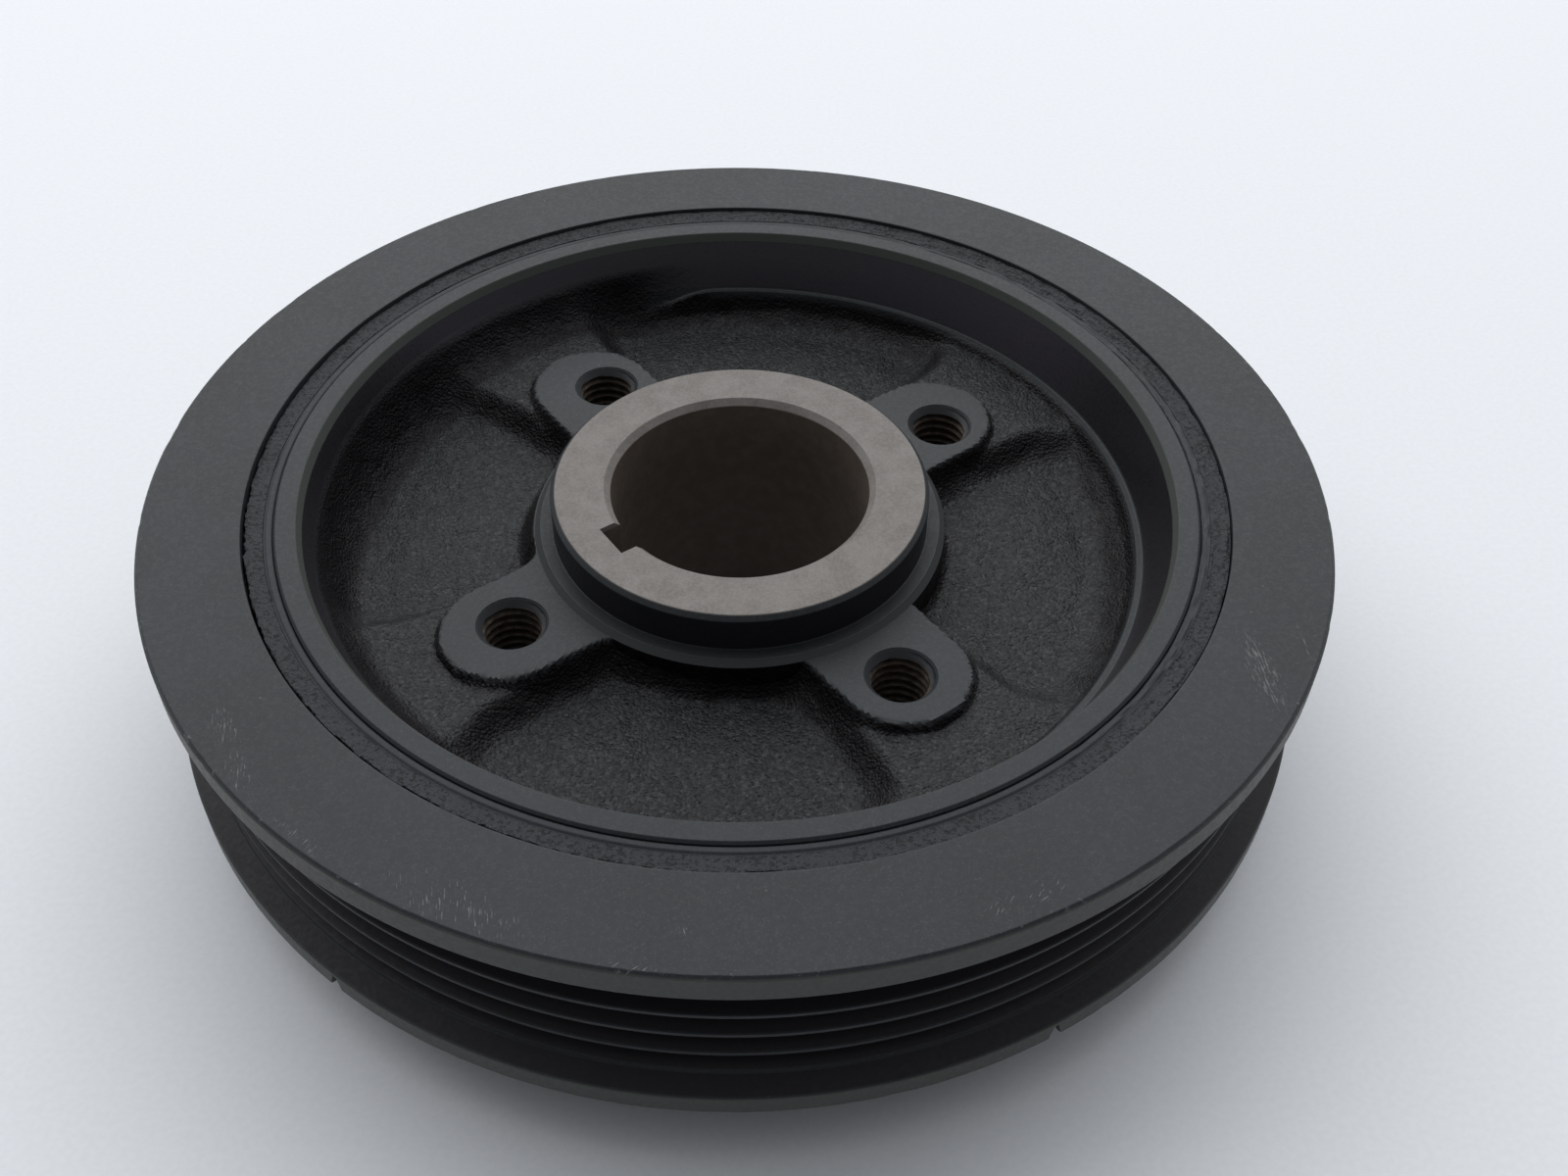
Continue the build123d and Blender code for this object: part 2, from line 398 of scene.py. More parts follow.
def rubber_shape(r, z, th):
    """Squeeze-out lip, pitted band and the ragged crack beside the belt ring."""
    x = r * np.cos(th)
    y = r * np.sin(th)
    front = smoothstep(RUBBER_FRONT_Z - 1.2, RUBBER_FRONT_Z - 0.2, z)
    across = r - RIM_R
    left = hump(angle_gap(th, 190.0), 0.0, 50.0)
    near = smoothstep(75.0, 40.0, np.abs(angle_gap(th, 225.0)))
    right = smoothstep(75.0, 45.0, np.abs(angle_gap(th, 10.0)))
    band = smoothstep(1.1, 1.4, across)
    lip = 0.12 * smoothstep(0.05, 0.3, across) * smoothstep(1.02, 0.8, across)
    foot = -0.35 * smoothstep(0.12, 0.02, across)
    line = -0.16 * hump(across, 1.05, 0.09) * (1.0 - 0.75 * right)
    rise = (0.32 - 0.2 * left) * smoothstep(1.3, 3.2, across)
    ragged = ring_noise(th, 59.0, scale=0.9, seed=5, octaves=4)
    crack_width = 0.08 + 0.20 * near + 0.06 * left + 0.15 * near * ragged
    crack = smoothstep(RING_BORE_R - crack_width, RING_BORE_R - crack_width * 0.5, r)
    pits = np.clip(fractal(x, y, scale=0.7, seed=8) - 0.3, 0, 1) * 0.10 * band
    smear = 0.12 * right * noise2(r * 3.2, np.degrees(th) * 0.55, scale=1.0, seed=33)
    waves = 0.04 * fractal(x, y, scale=3.0, seed=21, octaves=2) * band
    move = lip + foot + line + rise - 1.4 * crack - pits + waves + smear
    return r, z + front * move


def make_rubber_ring():
    """The rubber ring; its crack is cut by moving points, so it has many segments."""
    obj = lathe("rubber_ring_detail", rubber_profile(), RUBBER_SEGMENTS, rubber_shape)
    smooth(obj, 60.0)
    return obj


# ---------------------------------------------------------------- hub: cast web
def cast_coordinates(x, y):
    """Radius, distances along and across the nearest ear's axis, and that ear's number."""
    px = x - CAST_SHIFT[0]
    py = y - CAST_SHIFT[1]
    radius = np.hypot(px, py)
    angle = np.arctan2(py, px) - math.radians(CAST_TURN)
    quarter = math.pi / 2
    folded = (angle + quarter / 2) % quarter - quarter / 2
    ear = np.round(angle / quarter).astype(int) % 4
    return radius, radius * np.cos(folded), radius * np.sin(folded), ear


def web_height(x, y):
    """Height of the cast and machined web face, and how far it is raw casting (0 to 1)."""
    radius, s, t, ear = cast_coordinates(x, y)
    axis_r = np.hypot(x, y)
    # distance outside the machined pad: boss and ears, with a ragged outline
    d_ear = np.hypot(np.clip(EAR_CIRCLE_R - s, None, 0), np.abs(t)) - EAR_R
    d_boss = radius - BOSS_R
    ragged = 0.08 * fractal(x, y, scale=1.2, seed=67, octaves=2)
    d_pad = smooth_min(d_ear, d_boss, 2.2) + 0.3 + ragged
    pad = DISH_Z - PAD_WALL_SLOPE * d_pad
    # ribs that flare and lean outwards, and the pockets' slope up to the outer wall
    grow = np.clip((s - RIB_ROOT_R) / (POCKET_OUTER_R - RIB_ROOT_R), 0.0, 1.3)
    half = NECK_HALF + (RIB_FLARE_HALF - NECK_HALF) * grow**2.0
    lean = np.array(RIB_LEAN)[ear] * grow
    d_rib = (np.abs(t - lean) - half) * 0.93
    outer_drop = OUTER_WALL_SLOPE * (POCKET_OUTER_R - radius)
    drop = smooth_min(RIB_WALL_SLOPE * d_rib, outer_drop, 9.0)
    drop = drop + 0.3 * fractal(x, y, scale=7.0, seed=61)
    land = RIB_Z - 0.1 * smoothstep(2.4, 0.8, d_pad)
    wall = smooth_min(land - drop, land, 1.5)
    # all together, with the pockets' floor and the casting's small waves
    floor = POCKET_Z - 0.3 + 0.25 * fractal(x, y, scale=9.0, seed=71, octaves=2)
    raw = smooth_max(smooth_max(wall, pad, 0.6), floor, 2.8)
    raw = raw + 0.10 * fractal(x, y, scale=3.2, seed=41, octaves=2)
    raw = raw + 0.05 * fractal(x, y, scale=1.2, seed=51, octaves=2)
    # up to the machined ledge beside the dish wall
    near_ledge = smoothstep(LAND_R, LEDGE_R, axis_r)
    raw = raw + (DISH_Z - raw) * near_ledge**2
    raw = np.where(axis_r > LEDGE_R - 0.02, DISH_Z + 0.1, raw)
    return np.minimum(raw, DISH_Z), smoothstep(0.0, 0.08, DISH_Z - raw)


def web_wall_shade(x, y):
    """Painted shade on the web's walls, from 0 to 1: more where they are steep, less on walls
    that face +Y, towards the light.
    """
    reach = 0.35
    along_x = web_height(x + reach, y)[0] - web_height(x - reach, y)[0]
    along_y = web_height(x, y + reach)[0] - web_height(x, y - reach)[0]
    climb = np.hypot(along_x, along_y)
    facing_far = -along_y / np.maximum(climb, 1e-6)
    away_from_light = 0.2 + 0.8 * smoothstep(0.75, 0.25, facing_far)
    return smoothstep(0.22, 0.85, climb / (2 * reach)) * away_from_light


def fillet_share(theta):
    """Share (0 to 1) of the cast fillet that stays on the side the casting is shifted to."""
    return smoothstep(74.0, 58.0, np.abs(angle_gap(theta, FILLET_ANGLE)))


# ---------------------------------------------------------------- hub: section and relief
def wall_radius(z):
    """Radius of the leaning dish wall at height z."""
    share = (z - DISH_Z) / (DISH_WALL_Z - DISH_Z)
    return DISH_FLOOR_R + (DISH_WALL_R - DISH_FLOOR_R) * share


def hub_profile():
    """Section of the hub, with close points on the web's front face and the dish wall."""
    web = np.arange(STEP_FOOT_R + 0.15, DISH_FLOOR_R - 0.1, WEB_STEP)
    corners = [
        (BORE_R, 12.0, 0),
        (BORE_R, NOSE_Z - BORE_CHAMFER, 0.15),
        (BORE_R + BORE_CHAMFER, NOSE_Z, 0.1),
        (NOSE_R - NOSE_CHAMFER, NOSE_Z, 0.12),
        (NOSE_R, NOSE_Z - NOSE_CHAMFER, 0.15),
        (NOSE_R, STEP_Z, 0.12),
        (STEP_R, STEP_Z, 0.12),
        (STEP_FOOT_R, DISH_Z, 0.05),
        (DISH_FLOOR_R, DISH_Z, 0.25),
        *[(wall_radius(z), z, 0) for z in np.arange(DISH_Z + 0.6, FILLET_TOP_Z + 0.1, 0.6)],
        (DISH_WALL_R, DISH_WALL_Z, 0.12),
        (MOUTH_R, RIM_FRONT_Z, 0.18),
        (RIM_R - 0.3, RIM_FRONT_Z, 0.15),
        (RIM_R, RIM_FRONT_Z - 0.3, 0.1),
        (RIM_R, RIM_REAR_Z + 0.3, 0.1),
        (RIM_R - 0.3, RIM_REAR_Z, 0.15),
        (REAR_MOUTH_R, RIM_REAR_Z, 0.3),
        (DISH_FLOOR_R, WEB_REAR_Z, 3.2),
        (SNOUT_R, WEB_REAR_Z, 3.2),
        (SNOUT_R, 1.0, 0.2),
        (SNOUT_R - 1.0, 0.0, 0.15),
        (BORE_R + BORE_CHAMFER, 0.0, 0.1),
        (BORE_R, BORE_CHAMFER, 0.15),
    ]
    out = []
    for r, z in rounded(corners, arc_steps=3):
        at_dish_floor = abs(z - DISH_Z) < 0.3 and r > DISH_FLOOR_R - 0.5
        if out and at_dish_floor and out[-1][0] < STEP_FOOT_R + 0.8:
            out += [(float(w), DISH_Z) for w in web]
        out.append((r, z))
    return out


def add_fillet(r, z, cast_z, th):
    """Bends the web's edge and the dish wall's foot into a rough fillet, on its own side.

    r and z are the plain section's, and cast_z has the web's relief."""
    x = r * np.cos(th)
    y = r * np.sin(th)
    band = np.flatnonzero(
        (r[:, 0] >= FILLET_START_R) & (r[:, 0] < DISH_WALL_R)
        & (z[:, 0] > DISH_Z - 0.1) & (z[:, 0] < FILLET_TOP_Z + 0.1)
    )
    steps = np.hypot(np.diff(r[band, 0]), np.diff(z[band, 0]))
    t = (np.concatenate([[0.0], np.cumsum(steps)]) / steps.sum())[:, None]
    start_z = cast_z[band[0]]
    curve_r = bend(r[band[0]], FILLET_MIDDLE_R, r[band[-1]], t)
    curve_z = bend(start_z, start_z - 0.2, cast_z[band[-1]], t)
    rough = np.sin(math.pi * t)
    curve_z = curve_z + rough * 0.10 * fractal(x[band], y[band], scale=1.6, seed=97)
    across = z[band] * 3 + x[band]
    curve_r = curve_r - rough * 0.08 * fractal(y[band], across, scale=1.9, seed=103, octaves=2)
    share = fillet_share(th[band])
    new_r = r.copy()
    new_z = cast_z.copy()
    new_r[band] = r[band] + (curve_r - r[band]) * share
    new_z[band] = cast_z[band] + (curve_z - cast_z[band]) * share
    return new_r, new_z


def hub_shape(r, z, th):
    """Cast relief of the web's two faces, and the fillet left beside the dish wall."""
    x = r * np.cos(th)
    y = r * np.sin(th)
    on_web = (r > STEP_FOOT_R + 0.1) & (r < LEDGE_R + 0.02) & (np.abs(z - DISH_Z) < 0.01)
    cast_z = np.where(on_web, web_height(x, y)[0], z)
    at_rear = (z < WEB_REAR_Z + 0.5) & (z > RIM_REAR_Z + 0.65)
    rear = at_rear & (r > SNOUT_R + 0.3) & (r < RIM_R - 1.0)
    waves = 0.12 * fractal(x, y, scale=3.0, seed=81)
    cast_z = np.where(rear, cast_z + waves, cast_z)
    return add_fillet(r, z, cast_z, th)


# ---------------------------------------------------------------- hub: holes and keyway
def hole_centres():
    """Places of the four threaded holes."""
    angles = [math.radians(angle) for angle in HOLE_ANGLES]
    return [(HOLE_CIRCLE_R * math.cos(a), HOLE_CIRCLE_R * math.sin(a)) for a in angles]


def revolved(profile, segments, centre):
    """Points and faces of a small closed solid turned about a vertical axis at centre."""
    points = []
    for r, z in profile:
        for k in range(segments):
            a = 2 * math.pi * k / segments
            x = centre[0] + r * math.cos(a)
            y = centre[1] + r * math.sin(a)
            points.append((x * MM, y * MM, z * MM))
    faces = []
    for low in range(0, (len(profile) - 1) * segments, segments):
        high = low + segments
        for k in range(segments):
            k2 = (k + 1) % segments
            faces.append((low + k, low + k2, high + k2, high + k))
    last = (len(profile) - 1) * segments
    faces.append(tuple(range(segments)))
    faces.append(tuple(last + k for k in range(segments)))
    return points, faces


def keyway_box():
    """Points and faces of the box that cuts the keyway."""
    turn = Matrix.Rotation(math.radians(KEY_ANGLE), 4, "Z")
    half = KEY_WIDTH / 2
    inside = BORE_R - 6.0
    outside = BORE_R + KEY_DEPTH
    corners = ((inside, -half), (outside, -half), (outside, half), (inside, half))
    points = [
        tuple(turn @ Vector((x * MM, y * MM, z * MM)))
        for z in (-1.0, NOSE_Z + 1.0)
        for x, y in corners
    ]
    return points, BOX_FACES


def hub_cutter():
    """Holes with their countersinks, and the keyway, as one mesh of separate solids."""
    hole = [
        (HOLE_R, WEB_REAR_Z - 3.0),
        (HOLE_R, DISH_Z - (COUNTERSINK_R - HOLE_R)),
        (COUNTERSINK_R, DISH_Z),
        (COUNTERSINK_R, DISH_Z + 1.0),
    ]
    solids = [revolved(hole, HOLE_SEGMENTS, centre) for centre in hole_centres()]
    solids.append(keyway_box())
    points = []
    faces = []
    for solid_points, solid_faces in solids:
        base = len(points)
        points += solid_points
        faces += [tuple(base + i for i in face) for face in solid_faces]
    cutter = mesh_object("cutter", points, faces)
    fix_normals(cutter)
    return cutter


def thread_shape(r, z, th):
    """Turns a sleeve's inner wall into a right-hand thread that runs out at the mouth."""
    turn = (z / THREAD_PITCH - th / (2 * math.pi)) % 1.0
    rise = np.clip((np.abs(turn - 0.5) * 2 - 0.25) / 0.6, 0.0, 1.0)
    radius = THREAD_MINOR_R + (THREAD_MAJOR_R - THREAD_MINOR_R) * rise
    mouth = THREAD_MOUTH_R - (DISH_Z - z)
    return np.where(r < THREAD_MAJOR_R, np.maximum(radius, mouth), r), z


def make_threads():
    """A closed sleeve with an M8 thread inside for each of the four holes, as one mesh."""
    levels = np.arange(WEB_REAR_Z + 0.25, DISH_Z - 0.14, 0.11)
    profile = [(THREAD_MINOR_R, float(z)) for z in levels]
    profile += [(SLEEVE_R, float(levels[-1])), (SLEEVE_R, float(levels[0]))]
    joined = bmesh.new()
    for x, y in hole_centres():
        sleeve = lathe("sleeve", profile, HOLE_SEGMENTS, thread_shape)
        sleeve.data.transform(Matrix.Translation(Vector((x, y, 0.0)) * MM))
        joined.from_mesh(sleeve.data)
        bpy.data.objects.remove(sleeve)
    obj = mesh_object("hub_threads", [], [])
    joined.to_mesh(obj.data)
    joined.free()
    smooth(obj, 30.0)
    return obj


# ---------------------------------------------------------------- hub
def hub_masks(x, y, z):
    """How far each point is raw casting, and how much painted shade its wall gets (0 to 1)."""
    r = np.hypot(x, y)
    theta = np.arctan2(y, x)
    web = (z > MID_WEB_Z) & (z < DISH_Z + 0.01) & (r > STEP_FOOT_R) & (r < LEDGE_R)
    at_rear = (z < WEB_REAR_Z + 0.5) & (z > RIM_REAR_Z + 1.15)
    rear = at_rear & (r > SNOUT_R + 0.2) & (r < REAR_MOUTH_R)
    cast = np.where(web, web_height(x, y)[1], 0.0)
    cast = np.where(rear, 1.0, cast)
    beside_wall = (z > MID_WEB_Z) & (r > FILLET_START_R) & (r < DISH_WALL_R)
    fillet = fillet_share(theta) * smoothstep(FILLET_TOP_Z, FILLET_TOP_Z - 1.5, z)
    cast = np.where(beside_wall, np.maximum(cast, fillet), cast)
    steep_shade = np.where(web, web_wall_shade(x, y), 0.0)
    # painted shade on the cast fillet beside the dish wall, from a radius that grows with the
    # angle
    start = 45.2 + 2.4 * smoothstep(2.0, 32.0, angle_gap(theta, FILLET_ANGLE))
    painted_shade = 1.3 * fillet * smoothstep(start, start + 2.0, r)
    steep_shade = np.where(beside_wall, np.maximum(steep_shade, painted_shade), steep_shade)
    return cast, steep_shade


def make_hub():
    """The hub, with the masks that its material reads."""
    obj = lathe("hub_detail", hub_profile(), HUB_SEGMENTS, hub_shape)
    cut(obj, hub_cutter())
    smooth(obj, 38.0)
    cast, steep_shade = hub_masks(*positions(obj).T)
    write_attribute(obj, "cast", cast)
    write_attribute(obj, "steep_shade", steep_shade)
    return obj


# ---------------------------------------------------------------- material helpers
class Nodes:
    """A new material, and short ways to write its node tree."""

    def __init__(self, name):
        self.material = bpy.data.materials.new(name)
        self.material.use_nodes = True
        self.tree = self.material.node_tree
        self.tree.nodes.clear()
        self.shader = self.add("BsdfPrincipled")
        self.link(self.shader.outputs[0], self.add("OutputMaterial").inputs[0])
        self.coords = self.add("TexCoord").outputs["Object"]

    def add(self, kind):
        return self.tree.nodes.new("ShaderNode" + kind)

    def link(self, a, b):
        self.tree.links.new(a, b)

    def put(self, socket, value):
        """Links a socket to the input, or sets it to a plain value or an RGB colour."""
        if isinstance(value, bpy.types.NodeSocket):
            self.link(value, socket)
        elif isinstance(value, tuple):
            socket.default_value = (*value, 1.0)
        else:
            socket.default_value = value

    def math(self, operation, *values):
        node = self.add("Math")
        node.operation = operation
        for socket, value in zip(node.inputs, values):
            self.put(socket, value)
        return node.outputs[0]

    def times(self, a, b):
        return self.math("MULTIPLY", a, b)

    def plus(self, a, b):
        return self.math("ADD", a, b)

    def minus(self, a, b):
        return self.math("SUBTRACT", a, b)

    def most(self, a, b):
        return self.math("MAXIMUM", a, b)

    def ramp(self, value, low, high, start=0.0, end=1.0):
        """Goes softly from start, where value is low, to end, where it is high."""
        node = self.add("MapRange")
        node.interpolation_type = "SMOOTHSTEP"
        node.inputs["From Min"].default_value = low
        node.inputs["From Max"].default_value = high
        node.inputs["To Min"].default_value = start
        node.inputs["To Max"].default_value = end
        self.link(value, node.inputs["Value"])
        return node.outputs["Result"]

    def between(self, value, low, high, soft):
        """Mask that is 1 from low to high, with soft ends."""
        up = self.ramp(value, low - soft, low + soft)
        return self.times(up, self.ramp(value, high + soft, high - soft))

    def mix(self, factor, a, b):
        """Colour a where factor is 0 and colour b where it is 1."""
        node = self.add("Mix")
        node.data_type = "RGBA"
        self.put(node.inputs["Factor"], factor)
        self.put(node.inputs["A"], a)
        self.put(node.inputs["B"], b)
        return node.outputs["Result"]

    def noise(self, scale_mm, detail=3.0, rough=0.55, offset=0.0, vector=None):
        """Noise whose main spots are about scale_mm across; offset picks another part of it."""
        node = self.add("TexNoise")
        node.inputs["Scale"].default_value = 1.0 / (scale_mm * MM)
        node.inputs["Detail"].default_value = detail
        node.inputs["Roughness"].default_value = rough
        source = self.coords if vector is None else vector
        if offset:
            shift = self.add("Mapping")
            place = (offset * 0.013, offset * 0.007, offset * 0.011)
            shift.inputs["Location"].default_value = place
            self.link(source, shift.inputs["Vector"])
            source = shift.outputs[0]
        self.link(source, node.inputs["Vector"])
        return node.outputs["Fac"]

    def cells(self, scale_mm):
        """A random number for each of many small cells, and the distance to its middle."""
        node = self.add("TexVoronoi")
        node.inputs["Scale"].default_value = 1.0 / (scale_mm * MM)
        self.link(self.coords, node.inputs["Vector"])
        split = self.add("SeparateColor")
        self.link(node.outputs["Color"], split.inputs[0])
        return split.outputs[0], node.outputs["Distance"]

    def mapped(self, location, turn_deg, size):
        """Object coordinates seen from location, turned about Z and divided by size."""
        node = self.add("Mapping")
        node.vector_type = "TEXTURE"
        node.inputs["Location"].default_value = tuple(v * MM for v in location)
        node.inputs["Rotation"].default_value = (0, 0, math.radians(turn_deg))
        node.inputs["Scale"].default_value = size
        self.link(self.coords, node.inputs["Vector"])
        return node.outputs[0]

    def length(self, vector):
        node = self.add("VectorMath")
        node.operation = "LENGTH"
        self.link(vector, node.inputs[0])
        return node.outputs["Value"]

    def axes(self):
        """X, Y and Z of the object coordinates, in metres."""
        split = self.add("SeparateXYZ")
        self.link(self.coords, split.inputs[0])
        return list(split.outputs)

    def radius_height(self):
        """Distance from the crank axis and height, both in mm."""
        x, y, z = self.axes()
        r = self.math("SQRT", self.plus(self.times(x, x), self.times(y, y)))
        return self.times(r, 1.0 / MM), self.times(z, 1.0 / MM)

    def attribute(self, name):
        """A number that write_attribute stored with the mesh."""
        node = self.add("Attribute")
        node.attribute_type = "GEOMETRY"
        node.attribute_name = name
        return node.outputs["Fac"]

    def bump(self, height, distance_mm, strength, normal=None):
        node = self.add("Bump")
        node.inputs["Distance"].default_value = distance_mm * MM
        node.inputs["Strength"].default_value = strength
        self.link(height, node.inputs["Height"])
        if normal is not None:
            self.link(normal, node.inputs["Normal"])
        return node.outputs[0]

    def finish(self, colour, rough, normal, metallic=0.0, specular=0.26):
        """Feeds the shader and gives the material back."""
        inputs = self.shader.inputs
        self.put(inputs["Base Color"], colour)
        self.put(inputs["Roughness"], rough)
        self.put(inputs["Normal"], normal)
        self.put(inputs["Metallic"], metallic)
        self.put(inputs["Specular IOR Level"], specular)
        return self.material


def scaled(colour, factor):
    """A colour that is lighter or darker by a factor."""
    return tuple(factor * v for v in colour)


# ---------------------------------------------------------------- colours (linear RGB)
PAINT = (0.0225, 0.0258, 0.0290)
# painted shade: darker paint for the grooves, the sides of the dish wall, the nose wall and the
# step's flat
PAINT_SHADE = (0.0125, 0.0108, 0.0135)
PAINT_LIGHT = (0.044, 0.048, 0.050)
# painted reflection: lighter paint that stands in for the floor mirrored in the flange rims
FLANGE_FLOOR_REFLECTION = (0.062, 0.064, 0.058)
# painted light on the far side of the dish wall
WALL_FAR_PAINTED_LIGHT = (0.050, 0.043, 0.055)
MOUTH_PAINT = (0.062, 0.068, 0.060)
WORN = (0.27, 0.28, 0.28)
CAST_DARK = (0.0050, 0.0054, 0.0062)
CAST_LIGHT = (0.0135, 0.0160, 0.0166)
# painted shade on the casting's steep walls and on the fillet beside the dish wall
CAST_PAINTED_SHADE = (0.0060, 0.0050, 0.0063)
NOSE_DARK = (0.140, 0.126, 0.116)
NOSE_LIGHT = (0.178, 0.163, 0.152)
TOOL_MARKS = (0.26, 0.245, 0.235)
BORE_DARK = (0.100, 0.081, 0.066)
BORE_LIGHT = (0.122, 0.100, 0.083)
PIT_BLACK = (0.004, 0.004, 0.004)
CRACK_BLACK = (0.004, 0.0035, 0.004)
THREAD_DARK = (0.040, 0.030, 0.023)
THREAD_LIGHT = (0.085, 0.066, 0.052)
PAPER_DARK = (0.81, 0.83, 0.86)
PAPER_LIGHT = (0.84, 0.86, 0.89)
SKY = (0.95, 0.97, 1.0)

# Scratched patches on the belt ring's face: centre (mm), direction of the patch and of its
# streaks (degrees), half length, half width (mm) and how many streaks (0 to 1)
SCRATCHES = (
    ((-53.6, -40.8), -60.0, 103.0, 4.2, 1.8, 0.80),
    ((-50.9, -46.9), -64.0, 103.0, 4.4, 1.7, 0.75),
    ((-42.6, -55.4), -37.6, 60.0, 6.5, 1.0, 0.62),
    ((-26.9, -62.9), -27.0, 97.0, 11.0, 3.4, 0.60),
    ((-10.0, -69.9), -9.0, 40.0, 4.5, 0.9, 0.60),
    ((-5.4, -66.2), -64.0, 110.0, 2.4, 1.2, 0.60),
    ((56.6, -33.7), -83.6, 97.0, 7.8, 2.2, 0.90),
    ((62.2, -29.7), -85.2, 95.0, 3.6, 0.35, 0.75),
    ((27.4, -62.6), 24.0, 60.0, 10.0, 1.5, 0.50),
    ((28.7, -62.8), 31.0, 40.0, 2.2, 0.7, 0.70),
    ((32.0, 60.6), -45.0, -50.0, 6.5, 1.0, 0.50),
)


# ---------------------------------------------------------------- materials
def paint_base(n, paint=PAINT):
    """Colour, roughness and bump of the satin paint."""
    broad = n.noise(14.0)
    fine = n.noise(0.55, detail=2.0, rough=0.6, offset=3)
    speck = n.noise(0.26, detail=2.0, rough=0.7, offset=7)
    colour = n.mix(n.ramp(broad, 0.3, 0.7), paint, scaled(paint, 1.2))
    colour = n.mix(n.ramp(fine, 0.56, 0.72, 0.0, 0.35), colour, PAINT_LIGHT)
    colour = n.mix(n.ramp(speck, 0.56, 0.70, 0.0, 0.9), colour, PAINT_LIGHT)
    rough = n.ramp(fine, 0.3, 0.7, 0.44, 0.56)
    normal = n.bump(speck, 0.012, 0.4, n.bump(fine, 0.04, 0.4))
    return colour, rough, normal


def scratch_mask(n):
    """The strongest of the scratched patches: fine streaks inside soft ellipses."""
    total = None
    for centre, turn, streak, half_length, half_width, amount in SCRATCHES:
        middle = (*centre, RING_FRONT_Z)
        ellipse = n.mapped(middle, turn, (half_length, half_width, 5.0))
        inside = n.ramp(n.length(ellipse), 1.15 * MM, 0.25 * MM)
        stretched = n.mapped(middle, streak, (9.0, 1.0, 1.0))
        lines = n.noise(0.20, detail=2.0, rough=0.6, vector=stretched)
        # lines show where they pass this level, which is higher at the ellipse's edge
        level = n.minus(0.80 - 0.18 * amount, n.times(inside, 0.10))
        patch = n.times(n.ramp(n.minus(lines, level), 0.0, 0.05), inside)
        total = patch if total is None else n.most(total, patch)
    return total


def ring_material():
    """Paint of the belt ring: painted shade in the grooves, painted reflection on the flange
    rims, worn flange edges, scratches and dust.
    """
    n = Nodes("ring_paint")
    colour, rough, normal = paint_base(n, scaled(PAINT, 0.95))
    r, z = n.radius_height()
    # painted shade in the grooves, whose crests stay lighter, and painted reflection on the
    # rims of the flanges
    inner = n.ramp(r, FLANGE_R - 0.25, FLANGE_R - 0.35)
    rear_side = RING_REAR_Z + REAR_FLANGE - 0.1
    front_side = RING_FRONT_Z - FRONT_FLANGE + 0.15
    grooves = n.times(n.between(z, rear_side, front_side, 0.05), inner)
    crest = n.ramp(r, CREST_R - 0.3, CREST_R - 0.15)
    crest = n.times(crest, n.ramp(r, CREST_R + 0.25, CREST_R + 0.1))
    # painted shade: the grooves are darkened, less so on their crests
    painted_shade = n.times(grooves, n.minus(1.0, n.times(crest, 0.8)))
    colour = n.mix(n.times(painted_shade, 0.8), colour, PAINT_SHADE)
    # painted reflection of the bright floor on the flanges' outer rims
    flange_reflection = n.ramp(r, FLANGE_R - 0.2, FLANGE_R - 0.08, 0.0, 0.75)
    colour = n.mix(flange_reflection, colour, FLANGE_FLOOR_REFLECTION)
    # wear of the front face: scratches, nicks on its edge and grains of dust
    on_face = n.ramp(z, RING_FRONT_Z - 0.6, RING_FRONT_Z - 0.5)
    scratches = n.times(scratch_mask(n), on_face)
    at_edge = n.ramp(r, FLANGE_R - 0.85, FLANGE_R - 0.5)
    at_edge = n.times(at_edge, n.ramp(z, RING_FRONT_Z - 0.45, RING_FRONT_Z - 0.2))
    edge_noise = n.noise(1.1, detail=4.0, rough=0.65, offset=37)
    nicks = n.times(at_edge, n.ramp(edge_noise, 0.62, 0.70, 0.0, 0.6))
    lot, distance = n.cells(2.4)
    dust = n.times(n.ramp(lot, 0.84, 0.86, 0.0, 0.6), n.ramp(distance, 0.05, 0.03))
    worn = n.most(n.most(scratches, nicks), n.times(dust, on_face))
    colour = n.mix(n.times(worn, 0.42), colour, WORN)
    return n.finish(colour, rough, normal)


